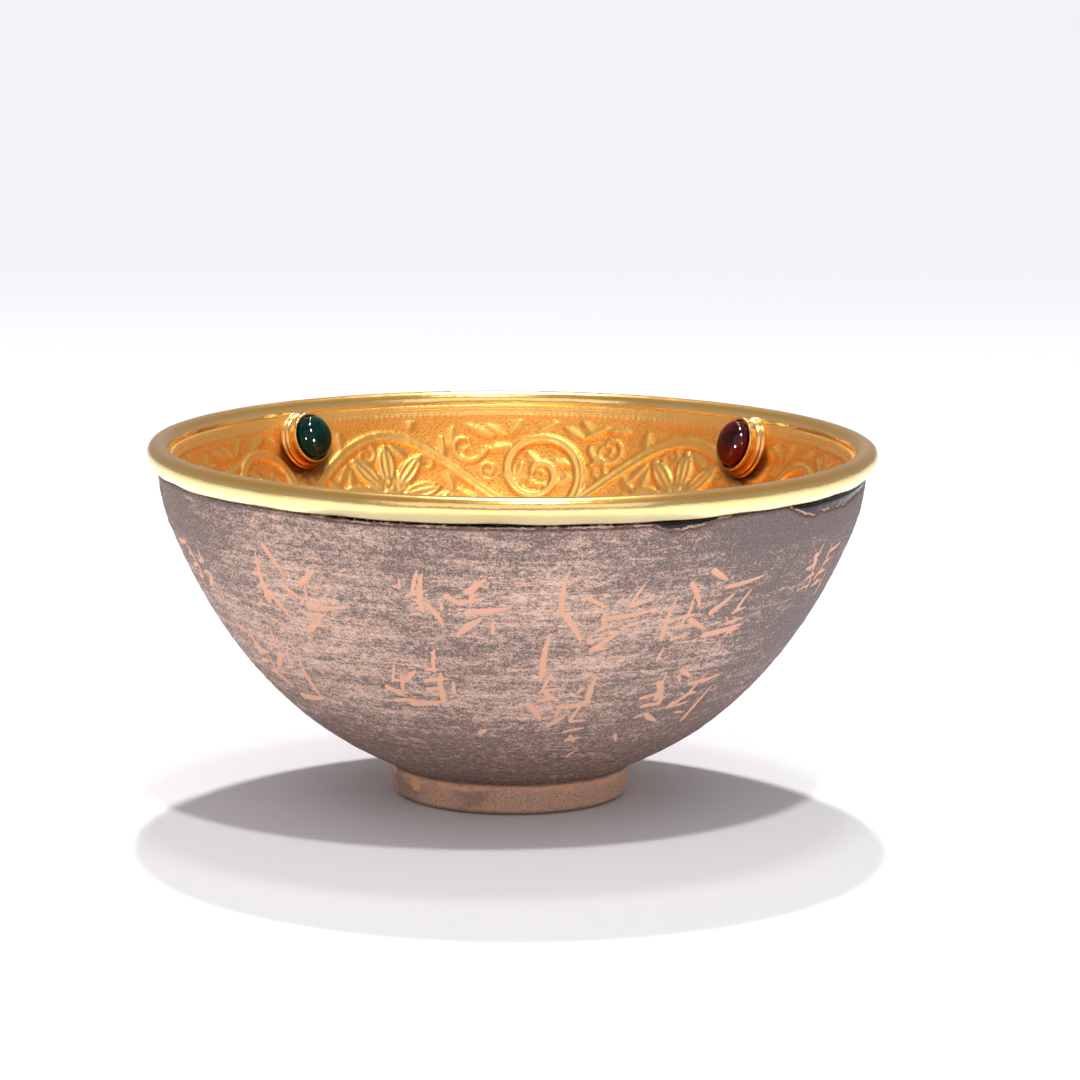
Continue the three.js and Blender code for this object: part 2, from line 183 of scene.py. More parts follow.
def turned_rings(radius, height, angle):
    """Points of a turned form, in rows up its outline and columns round it: the angle runs
    round from -Y, so x = r sin(angle) and y = -r cos(angle)."""
    shape = np.broadcast_shapes(np.shape(radius), np.shape(height), np.shape(angle))
    radius, height, angle = (np.broadcast_to(part, shape) for part in (radius, height, angle))
    return np.stack([radius * np.sin(angle), -radius * np.cos(angle), height], axis=-1)


def skin_mesh(name, rings, marks=None, joined=False):
    """A closed skin through rings of points. Rings next to each other have as many points, or
    one has twice as many and three triangles fill each step between them, or a ring is a
    single point, which closes the skin like a fan. With joined, the last ring meets the first.
    `marks` holds values for each point, one list of rings for each name."""
    starts = np.cumsum([0] + [len(ring) for ring in rings])
    ids = [np.arange(a, b) for a, b in zip(starts, starts[1:])]
    pairs = list(zip(ids, ids[1:])) + ([(ids[-1], ids[0])] if joined else [])
    quads, fans = [np.zeros((0, 4), int)], [np.zeros((0, 3), int)]
    for low, high in pairs:
        low_next, high_next = np.roll(low, -1), np.roll(high, -1)
        if len(low) == len(high):
            quads.append(np.stack([low, low_next, high_next, high], axis=1))
        elif len(low) == 1:
            fans.append(np.stack([np.full_like(high, low[0]), high_next, high], axis=1))
        elif len(high) == 1:
            fans.append(np.stack([low, low_next, np.full_like(low, high[0])], axis=1))
        elif len(low) == 2 * len(high):
            even, odd, last = low[::2], low[1::2], low_next[1::2]
            fans += [np.stack([even, odd, high], axis=1), np.stack([odd, high_next, high], axis=1),
                     np.stack([odd, last, high_next], axis=1)]
        else:
            even, odd, last = high[::2], high[1::2], high_next[1::2]
            fans += [np.stack([low, odd, even], axis=1), np.stack([low, low_next, odd], axis=1),
                     np.stack([low_next, last, odd], axis=1)]
    quads, fans = np.concatenate(quads), np.concatenate(fans)
    mesh = bpy.data.meshes.new(name)
    points = np.concatenate(rings) * 0.001
    corners = np.concatenate([quads.ravel(), fans.ravel()])
    counts = np.concatenate([np.full(len(quads), 4), np.full(len(fans), 3)])
    mesh.vertices.add(len(points))
    mesh.vertices.foreach_set("co", points.ravel())
    mesh.loops.add(len(corners))
    mesh.loops.foreach_set("vertex_index", corners)
    mesh.polygons.add(len(counts))
    mesh.polygons.foreach_set("loop_start", np.concatenate([[0], np.cumsum(counts)[:-1]]))
    mesh.polygons.foreach_set("use_smooth", np.ones(len(counts), bool))
    for mark, values in (marks or {}).items():
        layer = mesh.attributes.new(mark, "FLOAT", "POINT")
        layer.data.foreach_set("value", np.concatenate(values).astype(np.float32))
    mesh.update(calc_edges=True)
    mesh.validate()
    piece = bpy.data.objects.new(name, mesh)
    bpy.context.scene.collection.objects.link(piece)
    return piece


# Marks as in the solid: each has its degrees round, its level as a share of the way from the
# crease to the band, its width, its height and its count of main strokes. A kind of stroke has
# a lean, a length as a share of its mark's size, and a bow.
first_mark, last_mark, back_marks = -67, 64, 5
mark_places = [
    (first_mark, 0.72, 14, 12, 4), (-39, 0.72, 20, 14, 7), (-9, 0.73, 17, 10, 6),
    (14.5, 0.67, 18, 16, 6), (36, 0.7, 19, 14, 7), (last_mark, 0.75, 14, 9, 4),
    (-54, 0.41, 17, 13, 5), (-21, 0.42, 16, 8, 4), (10.5, 0.37, 12, 9, 5),
    (39.5, 0.37, 17, 12, 6),
]
back_step = (360 + first_mark - last_mark) / (back_marks + 1)
mark_places += [(last_mark + back_step * (k + 1), 0.7, 15, 11, 3) for k in range(back_marks)]
stroke_kinds = [(8, 0.5, -0.07), (-58, 0.36, 0.12), (38, 0.3, -0.07), (84, 0.46, 0.12),
                (-28, 0.26, -0.07)]
off_stroke = 2.0


def stroke_path(degrees, across, height, lean, length, bow, count=9):
    """A stroke as (angle round from the front, height): a straight run at a lean from level,
    lifted by a half sine bow."""
    share = np.linspace(0, 1, count)
    run = (share - 0.5) * length
    rise = bow * length * np.sin(np.pi * share)
    cos, sin = heading(lean, 1)
    turn = np.radians(degrees) + (across + run * cos - rise * sin) / clay_radius(height)
    return np.stack([turn, height + run * sin + rise * cos], axis=1)


def mark_strokes():
    """(path, half width, depth) of every stroke. The main strokes of a mark are spread over
    most of it. Each front mark also has two stacks, of three short level strokes crossed by an
    upright one, with two ticks near each. Three loose lines come last."""
    draw = np.random.default_rng(5)
    strokes = []
    fill, row_gap, tick_reach, tick_leans = 0.85, 1.9, 2.6, [-52, 48, 84]
    stack = [(9, 5, 3.6)] * 3 + [(80, 8, 4.6)]
    main_cut, stack_cut, tick_cut = (0.4, 0.16, 0.4), (0.22, 0.16, 0.25), (0.2, 0.14, 0.2)

    def keep(path, least, extra, depth):
        strokes.append((path, least + extra * draw.random(), depth))

    for order, (degrees, level, width, tall, count) in enumerate(mark_places):
        middle = foot_height + level * (band_edge - foot_height)
        for k in range(count):
            side = ((k * 0.38 + order * 0.37) % 1) - 0.5
            lean, reach, bow = stroke_kinds[(k + order) % 5]
            across = side * width * fill
            height = middle + tall * fill * (0.5 - (k + 0.5) / count)
            length = reach * (width + tall) / 2
            keep(stroke_path(degrees, across, height, lean, length, 0.4 * bow), *main_cut)
        for place in (-0.25, 0.25) if order < len(mark_places) - back_marks else ():
            across = (place + 0.12 * draw.normal()) * width
            height = middle + 0.2 * tall * draw.normal()
            for row, (mean_lean, sway, reach) in enumerate(stack):
                lean = draw.normal(mean_lean, sway)
                keep(stroke_path(degrees, across + 0.4 * draw.normal(),
                                 height + row_gap * (row - 1), lean,
                                 reach * (0.7 + 0.5 * draw.random()), 0.03), *stack_cut)
            for tick in range(2):
                keep(stroke_path(degrees, across + tick_reach * draw.normal(),
                                 height + tick_reach * draw.normal(), draw.choice(tick_leans),
                                 1.2 + 1.6 * draw.random(), 0), *tick_cut)
    for degrees, height, lean, length, bow, half, depth in (
            (-8.6, 47.3, 0, 8.2, 0.01, 0.14, 0.12), (2.8, 47.0, 0, 11.5, -0.01, 0.12, 0.1),
            (-6.2, 19.2, 30, 1.4, 0, 0.5, 0.3)):
        strokes.append((stroke_path(degrees, 0, height, lean, length, bow), half, depth))
    return strokes


def stroke_field(angle, height):
    """How far each point of a grid lies outside the nearest stroke, in millimetres, and how
    deep the clay is cut there. A stroke reaches its half width from its path, and thins to the
    share `tip` of it at the end. The clay slopes down to the bed of the cut over `bank` half
    widths, and the stroke's edge is halfway down."""
    margin, thinning, tip, bank = 2.5, 0.6, 0.25, 1.4
    outside = np.full((len(height), len(angle)), off_stroke)
    depth = np.zeros_like(outside)
    for path, half, deep in mark_strokes():
        mean_turn, mean_height = path[:, 0].mean(), path[:, 1].mean()
        turn = wrapped(angle - mean_turn, full_turn)
        near = np.ptp(path[:, 0]) / 2 + margin / clay_radius(mean_height)
        columns = np.flatnonzero(np.abs(turn) < near)
        rows = np.flatnonzero(np.abs(height - mean_height) < np.ptp(path[:, 1]) / 2 + margin)
        if not len(rows) or not len(columns):
            continue
        radius = clay_radius(height[rows])[:, None]
        x, y = turn[columns][None, :] * radius, height[rows][:, None]
        segments = []
        for (start, low), (end, high) in zip(path, path[1:]):
            ax, bx = (start - mean_turn) * radius, (end - mean_turn) * radius
            segments.append((x - ax, y - low, bx - ax, high - low))
        nearest, place = nearest_spot(segments)
        swell = part_of(1 - place, thinning) ** 0.6
        past = nearest - half * (tip + (1 - tip) * swell)
        bed = deep * np.clip(0.5 - past / (bank * half), 0, 1)
        block = np.ix_(rows, columns)
        outside[block] = np.minimum(outside[block], past)
        depth[block] = np.maximum(depth[block], bed)
    return outside, depth


def glaze_share(angle, height):
    """How far each point lies above the lower edge of the dark glaze, in millimetres. The edge
    lies hidden under the band, but a thin line of glaze shows over the front, and each run
    reaches down between two angles, steep at its start. The edge is ragged with fine teeth."""
    hidden, line, line_left, line_right = 1.2, 1.32, -38, 40
    turn = np.degrees(wrapped(angle, full_turn))
    run = line * part_of(turn - line_left, 10) * part_of(line_right - turn, 8) - hidden
    for start, end, reach in ((21, 37, 1.1), (47, 90, 1.7), (131, 150, 1.6), (-118, -104, 1.4)):
        share = part_of(turn - start, end - start)
        rise = part_of(share, 0.15) ** 0.7 * part_of(1 - share, 0.6) ** 0.6
        run = np.maximum(run, rise * (reach + hidden) - hidden)
    teeth = ripple(angle, 0, [(17, 0), (29, 0), (61, 0), (97, 0), (139, 0)], 21)
    return height - (seat_height - run * (1 + 0.3 * teeth))


def front_weighted_angles(count, front, share):
    """Angles round the bowl, with a share of them packed evenly in the front, which reaches
    `front` degrees to each side, and the rest spread evenly over the back."""
    many = int(count * share / 2) * 2
    fine = np.linspace(-front, front, many, endpoint=False)
    coarse = np.linspace(front, 360 - front, count - many, endpoint=False)
    return np.radians(np.concatenate([fine, coarse]))


wall_angles = front_weighted_angles(count=480, front=80, share=0.78)
seat_height = band_edge - fit_gap
band_standoff, seat_lean, unglazed_depth = 0.5, 1.3, -9.0
edge_radius = clay_radius(band_edge) + band_standoff
seat_radius = edge_radius - seat_lean * band_thickness - fit_gap
foot_inside = foot_radius - foot_width
bowl_foot = worn([(0, foot_recess), (foot_inside - 0.3, foot_recess), (foot_inside, 0.4),
                  (foot_inside + 0.9, 0), (foot_radius - 1.2, 0), (foot_radius - 0.3, 0.7),
                  (foot_radius, foot_height - 0.35)], reach=0.55)
bowl_foot = np.concatenate([[(r, foot_recess) for r in (5, 10)], bowl_foot[1:]])
# Rows up the wall lie closest where the marks are
wall_spots = np.concatenate([
    np.arange(0.25, 13, 0.75), np.arange(13.25, 57.5, 0.44),
    np.arange(57.6, np.interp(seat_height - 0.35, clay_outside[:, 1], outside_length), 0.5),
])
wall_rows = np.stack([np.interp(wall_spots, outside_length, clay_outside[:, k])
                      for k in (0, 1)], axis=1)
bowl_lip = worn([(clay_radius(seat_height), seat_height - 0.1), (seat_radius, seat_height),
                 (seat_radius, lip_height), (lip_radius - lip_wall, lip_height - 0.2),
                 (lip_radius - lip_wall, lip_height - 2)], reach=0.45)
clay_floor = np.stack(inside_place(np.linspace(2.5, inside_length[-1] - 2, 24), 0), axis=1)


def clay_surface(rows, angle):
    """Outline rows turned round, with the unevenness of a hand-thrown wall: ridges that run
    almost level, soft trimmed flats, deeper low down, and the cut marks. The glaze stands
    proud of the clay, with a groove along its torn edge."""
    ridge_height, flat_depth, low_flat_depth, skin_inset = 0.09, 0.05, 0.22, 0.05
    glaze_lift, groove_depth, groove_half, glaze_reach = 0.14, 0.1, 0.35, -0.7
    radius, height = rows[:, :1], rows[:, 1:]
    ridges = ripple(angle, height, [(1, 0.21), (0, 0.37), (1, 0.53), (-1, 0.71), (0, 0.97)], 3)
    flats = ripple(angle, height, [(3, 0.01), (5, -0.02), (8, 0.03), (13, 0.02)], 4)
    fade = part_of(seat_height - height, 3) * part_of(height - 5, 2)
    low = np.exp(-((height - 10) / 5) ** 2)
    outside, depth = stroke_field(angle, rows[:, 1])
    wavy = (ridge_height * ridges + flat_depth * flats + low_flat_depth * low * flats) * fade
    glaze = glaze_share(angle, height)
    groove = np.clip(1 - np.abs(glaze + groove_half) / groove_half, 0, 1)
    step = glaze_lift * part_of(glaze, 0.3) - groove_depth * groove
    return (radius + wavy - depth - skin_inset + step * (glaze > glaze_reach), height, outside,
            glaze)


foot_wobble = 0.08 * ripple(wall_angles, 0, [(2, 0), (3, 0), (7, 0)], 6)
radius, height, stroke_edge, glaze_edge = clay_surface(wall_rows, wall_angles)
outer_foot = bowl_foot[:, :1] > 19
underside = turned_rings(bowl_foot[:, :1] + foot_wobble * outer_foot, bowl_foot[:, 1:],
                         wall_angles)
wall = turned_rings(radius, height, wall_angles)
lip = turned_rings(bowl_lip[:, :1], bowl_lip[:, 1:], wall_angles)
half_round = wall_angles[::2]
inside = turned_rings(clay_floor[:, :1], clay_floor[:, 1:], half_round[::2])
step_down = turned_rings(np.full((1, 1), lip_radius - lip_wall),
                         lip_height - band_inner_height, half_round)
bowl_rings = ([np.array([[0, 0, foot_recess]])] + list(underside) + list(wall) + list(lip)
              + list(step_down) + list(inside) + [np.array([[0, 0, floor_height]])])
first = 1 + len(underside)
cut_edges = [np.full(len(ring), off_stroke) for ring in bowl_rings]
cut_edges[first:first + len(wall)] = list(stroke_edge)
unglazed = [np.full(len(ring), unglazed_depth) for ring in bowl_rings[:first]]
under_band = [glaze_share(wall_angles, seat_height)] * len(lip)
behind = [np.full(len(ring), 1.0) for ring in bowl_rings[first + len(wall) + len(lip):]]
glazed = unglazed + list(glaze_edge) + under_band + behind
stoneware_bowl = skin_mesh("stoneware_bowl", bowl_rings,
                           {"stroke_edge": cut_edges, "glaze_edge": glazed})


def shown(red, green, blue):
    """The colour for a shader of a colour named as it shows on a screen, from 0 to 255."""
    parts = np.array([red, green, blue]) / 255
    linear = np.where(parts <= 0.04045, parts / 12.92, ((parts + 0.055) / 1.055) ** 2.4)
    return (*linear.tolist(), 1.0)


def add(tree, kind, inputs=None, **settings):
    """A new shader node. An input is given a value, or joined to an output of another node."""
    made = tree.nodes.new(kind)
    for name, value in settings.items():
        setattr(made, name, value)
    for name, value in (inputs or {}).items():
        if isinstance(value, bpy.types.NodeSocket):
            tree.links.new(value, made.inputs[name])
        else:
            made.inputs[name].default_value = value
    return made


def noise(tree, place, scale, detail=4.0, stretch=(1, 1, 1), roughness=0.55):
    """Noise on a place in space, squeezed along the axes by `stretch`."""
    squeezed = add(tree, "ShaderNodeVectorMath", {0: place, 1: stretch}, operation="MULTIPLY")
    return add(tree, "ShaderNodeTexNoise", {
        "Vector": squeezed.outputs[0], "Scale": scale, "Detail": detail,
        "Roughness": roughness}).outputs[0]


def eased(tree, value, start, end, low=0.0, high=1.0):
    """`low` where the value is below start, `high` where it is above end, smooth between."""
    return add(tree, "ShaderNodeMapRange", {
        "Value": value, "From Min": start, "From Max": end, "To Min": low, "To Max": high},
        interpolation_type="SMOOTHSTEP").outputs[0]


def mixed(tree, share, *colours):
    """Two colours mixed by a share. Either may be given as the three numbers it shows with."""
    low, high = (shown(*one) if isinstance(one, tuple) else one for one in colours)
    return add(tree, "ShaderNodeMix", {0: share, 6: low, 7: high}, data_type="RGBA").outputs[2]


def sums(tree, how, first, second):
    """Arithmetic on two values."""
    return add(tree, "ShaderNodeMath", {0: first, 1: second}, operation=how).outputs[0]


def plus(tree, value, part, weight):
    """A value with a weighted part added to it."""
    return sums(tree, "ADD", value, sums(tree, "MULTIPLY", part, weight))


def kept(tree, mark):
    """A value kept on the points of the piece."""
    return add(tree, "ShaderNodeAttribute", attribute_name=mark).outputs["Fac"]


def new_finish(name, **values):
    """A material with one main shader. Returns its node tree and that shader too, with the
    place in space, in metres, and the three parts of that place."""
    finish = bpy.data.materials.new(name)
    finish.use_nodes = True
    shader = finish.node_tree.nodes["Principled BSDF"]
    for socket, value in values.items():
        shader.inputs[socket.replace("_", " ")].default_value = value
    place = add(finish.node_tree, "ShaderNodeTexCoord").outputs["Object"]
    parts = add(finish.node_tree, "ShaderNodeSeparateXYZ", {0: place}).outputs
    return finish, finish.node_tree, shader, place, parts


def dress(tree, shader, colour, roughness, relief, strength, depth):
    """Join a colour, a roughness and a bump to a shader."""
    bump = add(tree, "ShaderNodeBump", {
        "Height": relief, "Strength": strength, "Distance": depth}).outputs[0]
    for socket, part in (("Base Color", colour), ("Roughness", roughness), ("Normal", bump)):
        tree.links.new(part, shader.inputs[socket])


def clay_finish():
    """Grey-brown skin, peppered with salmon grains that run in level streaks. It is darker
    under the band, darker low down in painted shade, browner near the foot and greyer at the
    right, and darker in painted shade in the crease above the foot. The foot ring is rust brown
    with one salmon chip. Strokes show bare salmon clay. The dark glaze ends in a pale torn edge
    with a purple-brown stain under it."""
    finish, tree, shader, place, (across, _, height) = new_finish(
        "clay_finish", Specular_IOR_Level=0.35)
    grain = noise(tree, place, 3000, 2.0, (1, 1, 1.2), 0.7)
    fleck = noise(tree, place, 900, 4.0, (1, 1, 2.4), 0.75)
    streak = noise(tree, place, 210, 6.0, (1, 1, 3.2), 0.7)
    line = noise(tree, place, 60, 3.0, (0.1, 0.1, 20))
    patch = noise(tree, place, 45, 4.0, (1, 1, 1.5), 0.6)
    bare = sums(tree, "MULTIPLY", grain, 1.5)
    for part, weight in ((fleck, 1.7), (streak, 1.2), (line, 0.75), (patch, 0.9)):
        bare = plus(tree, bare, part, weight)
    for part, start, end, low, high in (
            # Fewer salmon grains low down: a painted shade. Fewer also under the band and at both
            # sides.
            (height, 0.010, 0.030, -0.38, 0), (height, 0.044, 0.054, 0, -0.2),
            (across, 0.016, 0.052, 0, -0.36), (across, -0.056, -0.036, -0.16, 0)):
        bare = sums(tree, "ADD", bare, eased(tree, part, start, end, low, high))
    earth = mixed(tree, eased(tree, fleck, 0.38, 0.62), (104, 82, 74), (176, 138, 118))
    rust = mixed(tree, eased(tree, grain, 0.3, 0.7), (186, 146, 126), (240, 194, 166))
    fired = sums(tree, "MULTIPLY", eased(tree, height, 0.0036, 0.0044),
                 eased(tree, streak, 0.4, 0.6))
    for share, colour in (
            (eased(tree, patch, 0.5, 0.34, 0, 0.5), (112, 86, 76)),
            (eased(tree, streak, 0.54, 0.68, 0, 0.8), (240, 168, 126)), (fired, (246, 186, 148)),
            (eased(tree, height, 0.0003, 0.0011, 0.45, 0), (84, 62, 54))):
        rust = mixed(tree, share, rust, colour)
    chip = add(tree, "ShaderNodeVectorMath", {0: place, 1: (-0.0162, -0.0127, 0.0037)},
               operation="DISTANCE").outputs["Value"]
    chip = plus(tree, chip, streak, 0.0024)
    cut = mixed(tree, grain, (226, 166, 136), (250, 200, 170))
    ragged = plus(tree, kept(tree, "stroke_edge"), sums(tree, "SUBTRACT", streak, 0.5), 0.4)
    torn = plus(tree, kept(tree, "glaze_edge"), sums(tree, "SUBTRACT", fleck, 0.5), 1.4)
    stain = sums(tree, "MULTIPLY", eased(tree, torn, -1.1, -0.55), eased(tree, streak, 0.3, 0.5))
    tear = sums(tree, "MULTIPLY", eased(tree, torn, -0.42, -0.3), eased(tree, streak, 0.44, 0.55))
    dark = eased(tree, torn, -0.04, 0.06)
    skin = mixed(tree, eased(tree, grain, 0.4, 0.62), (118, 104, 101), (162, 138, 127))
    for share, colour in (
            (eased(tree, across, 0.01, 0.05, 0, 0.42), (108, 103, 106)),
            (eased(tree, height, 0.010, 0.024, 0.6, 0), earth),
            (eased(tree, bare, 2.74, 3.12), (196, 165, 150)),
            (eased(tree, bare, 2.98, 3.6), (248, 208, 184)),
            # Painted shade in the crease just above the foot.
            (eased(tree, height, 0.0058, 0.0074, 0.35, 0), (84, 66, 58)),
            (eased(tree, height, 0.0048, 0.0056, 1, 0), rust),
            (eased(tree, chip, 0.0021, 0.0026, 1, 0), (255, 186, 132)),
            (eased(tree, ragged, -0.06, 0.06, 1, 0), cut),
            (stain, (106, 68, 62)), (tear, (206, 178, 166)), (dark, (22, 16, 16))):
        skin = mixed(tree, share, skin, colour)
    rough = sums(tree, "MULTIPLY", plus(tree, streak, grain, 0.6), eased(tree, dark, 0, 1, 1, 0.05))
    dress(tree, shader, skin, eased(tree, dark, 0, 1, 0.82, 0.16), rough, 0.7, 0.0003)
    return finish


stoneware_bowl.data.materials.append(clay_finish())
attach(stoneware_bowl, "root")
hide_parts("stoneware_bowl")

# Gold lining: one sheet of high-carat gold, worked from both sides in repousse and chased.
# A waving stem with outlined edges carries spirals and blossoms on a stippled ground, between
# beaded borders. It follows the clay and ends just below the lip.
frieze_top, frieze_depth = 4.4, 21
frieze_middle = frieze_top + frieze_depth / 2
scroll_pairs, hanging_bend = 6, -5
lining_face = fit_gap + lining_thickness
frieze_radius = inside_place(frieze_middle, lining_face)[0]
pair_width = full_turn * frieze_radius / scroll_pairs
pair_columns = 170
lining_columns = pair_columns * scroll_pairs
stone_places = {"back_right": 131.8, "back_left": 222.3, "front_left": 311.5,
                "front_right": 41.5}
stone_drop = 6.8


def path_field(x, y, path):
    """Distance from each point to a path of the frieze, and the place along it. The frieze
    repeats, so x is taken to the nearest repeat."""
    segments = []
    for (ax, ay), (bx, by) in zip(path, path[1:]):
        shift = wrapped(x - (ax + bx) / 2, pair_width)
        segments.append((shift + (ax + bx) / 2 - ax, y - ay, bx - ax, by - ay))
    return nearest_spot(segments)


def ribbon(x, y, path, width, height, taper):
    """A raised ribbon along a path: full height at two outlines near its edges and a shallow
    channel between them. With taper, it thins towards the end of the path."""
    away, place = path_field(x, y, path)
    half = width / 2 * (1 - taper * place)
    across = away / half
    edges = part_of(1 - across, 0.35)
    channel = 1 - 0.4 * np.clip(1 - across / 0.55, 0, 1)
    return height * edges**0.7 * channel * (1 - 0.3 * taper * place)


def curl(centre, start, sweep, reach, eye, count=24):
    """A spiral path that starts at an angle, turns through a sweep, and draws in from a reach
    to an eye."""
    share = np.linspace(0, 1, count)
    return np.array(centre) + heading(start + sweep * share, reach + (eye - reach) * share).T


def blade(x, y, base, lean, length, width, height, flutes):
    """A pointed petal: half as wide as the half sine of its length allows, domed, with folds
    that run to the point and a crisp outline."""
    cos, sin = heading(lean, 1)
    px = wrapped(x - base[0] - length / 2 * cos, pair_width)
    px, py = px + length / 2 * cos, y - base[1]
    along = (px * cos + py * sin) / length
    across = -px * sin + py * cos
    half = width / 2 * np.sin(np.pi * np.clip(along, 0, 1)) ** 0.8 + 1e-6
    q = np.abs(across) / half
    inside_blade = part_of(1 - q, 0.3) * ((along > 0) & (along < 1))
    folds = 0.74 + 0.26 * np.cos(full_turn * flutes * q)
    return height * inside_blade**0.7 * folds


def frieze_relief(x, y):
    """Height of the carving over one pair of bends: the greatest height of its stem, spiral,
    curls, blossom and leaves, and of small leaves and curls scattered where the ground between
    them is still bare. x = 0 is the middle of the hanging bend, y = 0 that of the frieze."""
    swing, reach = 0.36 * frieze_depth, 0.4 * frieze_depth
    half_pair = pair_width / 2
    steps = np.linspace(-half_pair, half_pair, 49)
    stem = np.stack([steps, -swing * np.cos(full_turn * steps / pair_width)], axis=1)
    spiral = curl((0, 0), start=220, sweep=-560, reach=reach, eye=0.9, count=48)
    flower = np.array([half_pair, -0.2 * frieze_depth])
    ribbons = [(stem, 2.3, 0.5, 0), (spiral, 2.2, 0.6, 0.45)]
    blades = [(flower + heading(lean, 2.4), lean, 8, 3.8, 0.66, 1.5)
              for lean in (10, 50, 90, 130, 170)]
    blades += [(flower, lean, 5.2, 1.7, 0.5, 1) for lean in (-50, -90, -130, 30, 70, 110, 150)]
    for side in (-1, 1):
        middle = side * half_pair * 0.5
        upper = curl((middle * 0.92, 5.4), 90 + side * 100, side * 330, 3.6, 0.7)
        lower = curl((middle * 1.2, -6.2), -90 + side * 60, side * 350, 3.2, 0.6)
        ribbons += [(upper, 1.3, 0.45, 0.5), (lower, 1.3, 0.45, 0.5)]
        blades += [((middle + side * 3.2, -4), -90 + side * 20, 8, 3.6, 0.55, 2),
                   ((middle * 0.2, -2.5), 90 - side * 60, 5, 2, 0.42, 1),
                   ((middle * 0.9, 9.3), -90 - side * 62, 5.5, 2, 0.42, 1)]
    button, button_edge = 2.2, 0.6
    away = np.hypot(wrapped(x - flower[0], pair_width), y - flower[1])
    parts = [ribbon(x, y, *sizes) for sizes in ribbons] + [blade(x, y, *sizes) for sizes in blades]
    total = np.max(parts + [0.5 * part_of(button - away, button_edge) ** 0.6], axis=0)
    draw = np.random.default_rng(23)
    tries, clearance, bare_height = 150, 1.0, 0.3
    for kind in range(tries):
        spot = np.array([draw.random() * pair_width, (0.92 * draw.random() - 0.43) * frieze_depth])
        lean = 360 * draw.random()
        near = np.hypot(wrapped(x - spot[0], pair_width), y - spot[1]) < clearance
        if (total * near).max() > bare_height:
            continue
        if kind % 3:
            filler = blade(x, y, spot - heading(lean, 1.8), lean, 4.6, 2.1, 0.4, 1)
        else:
            filler = ribbon(x, y, curl(spot, lean, 400, 1.9, 0.5), 0.9, 0.36, 0.4)
        total = np.maximum(total, filler)
    return total


def border_relief(drop, turn):
    """Height of the plain and beaded lines that run round above and below the frieze: each
    line is a rounded rib, and the beads swell and sink along a rib."""
    bead_columns = 3
    beads = 0.6 + 0.4 * np.cos(turn * lining_columns / bead_columns)
    total = np.zeros(np.broadcast(drop, turn).shape)
    for middle, width, height, beaded in (
            (2.5, 0.45, 0.12, 0), (3.0, 0.3, 0.1, 0), (3.7, 0.9, 0.26, 1), (25.4, 0.9, 0.26, 1),
            (24.3, 0.5, 0.15, 0), (26.6, 0.5, 0.15, 0)):
        rib = height * np.clip(1 - ((drop - middle) / (width / 2)) ** 2, 0, 1) ** 0.5
        total = np.maximum(total, rib * (beads if beaded else 1))
    return total


lining_setback = lip_height - band_top + band_inner_height + fit_gap
fine_drops = np.concatenate([np.arange(1.95, 4.5, 0.26), np.arange(4.6, 26.9, 0.34)])
fine_turns = np.arange(lining_columns) * full_turn / lining_columns
setting_room = 4.9, 5.6
pair_x = np.arange(pair_columns) * pair_width / pair_columns
frieze = frieze_relief(pair_x[None, :], (frieze_middle - fine_drops)[:, None])
frieze = np.tile(frieze, (1, scroll_pairs))
frieze = np.roll(frieze, round(hanging_bend / 360 * lining_columns), axis=1)
within = part_of(fine_drops - frieze_top, 0.5) * part_of(
    frieze_top + frieze_depth - fine_drops - 0.8, 0.6)
relief = frieze * within[:, None]
relief = np.maximum(relief, border_relief(fine_drops[:, None], fine_turns[None, :]))
room = np.full(relief.shape, 99.0)
for degrees in stone_places.values():
    away = wrapped(fine_turns - np.radians(degrees), full_turn)
    away = np.hypot(away[None, :] * frieze_radius / setting_room[0],
                    (fine_drops[:, None] - stone_drop) / setting_room[1])
    room = np.minimum(room, away)
relief *= part_of(room - 1, 0.12)
dents = ripple(fine_turns[None, :], fine_drops[:, None],
               [(5, 0.03), (9, -0.05), (14, 0.08), (23, -0.06)], 8)
ground_share = np.clip(1 - relief / 0.12, 0, 1)


def lining_rings(drops, turns, raised):
    """Rings of the face of the sheet, each pushed into the room of the bowl by its relief."""
    radius, height = inside_place(np.atleast_1d(drops)[:, None], lining_face + raised)
    return turned_rings(radius, height, turns)


half_turns, quarter_turns = fine_turns[::2], fine_turns[::4]
back_inset = fit_gap + 0.02
sheet_back = turned_rings(*inside_place(np.linspace(inside_length[-1] - 1.5, 4, 10)[:, None],
                                        back_inset), quarter_turns)
back_top = [turned_rings(*inside_place(np.full((1, 1), drop), back_inset), turns)[0]
            for drop, turns in ((2.6, half_turns), (lining_setback + 0.1, fine_turns))]
edge_top = turned_rings(*inside_place(lining_setback + np.array([[0], [0], [0.1]]),
                                      fit_gap + np.array([[0.12], [0.38], [0.5]])), fine_turns)
dent_depth, ring_height, ring_half = 0.05, 0.35, 0.9
sheet_fine = lining_rings(fine_drops, fine_turns, relief + dent_depth * dents)
low_drops = np.concatenate([np.arange(27.6, 60, 1.3), np.arange(60, inside_length[-1] - 1, 0.9)])
medallion = inside_length[-1] - 14
hammered = dent_depth * ripple(quarter_turns[None, :], low_drops[:, None],
                               [(11, 0.07), (17, -0.11), (29, 0.13), (8, -0.17)], 9)
hammered *= part_of(inside_length[-1] - low_drops - 3, 15)[:, None]
ring_relief = ring_height * np.clip(1 - ((low_drops - medallion) / ring_half) ** 2, 0, 1)[:, None]
sheet_low = lining_rings(low_drops, quarter_turns, hammered + ring_relief)
between = lining_rings([27.2], half_turns, np.zeros((1, len(half_turns))))
floor_point = np.array([[0, 0, floor_height + lining_face]])
rings = ([np.array([[0, 0, floor_height + fit_gap]])] + list(sheet_back) + back_top
         + list(edge_top) + list(sheet_fine) + list(between) + list(sheet_low) + [floor_point])
first_fine = 1 + len(sheet_back) + len(back_top) + len(edge_top)


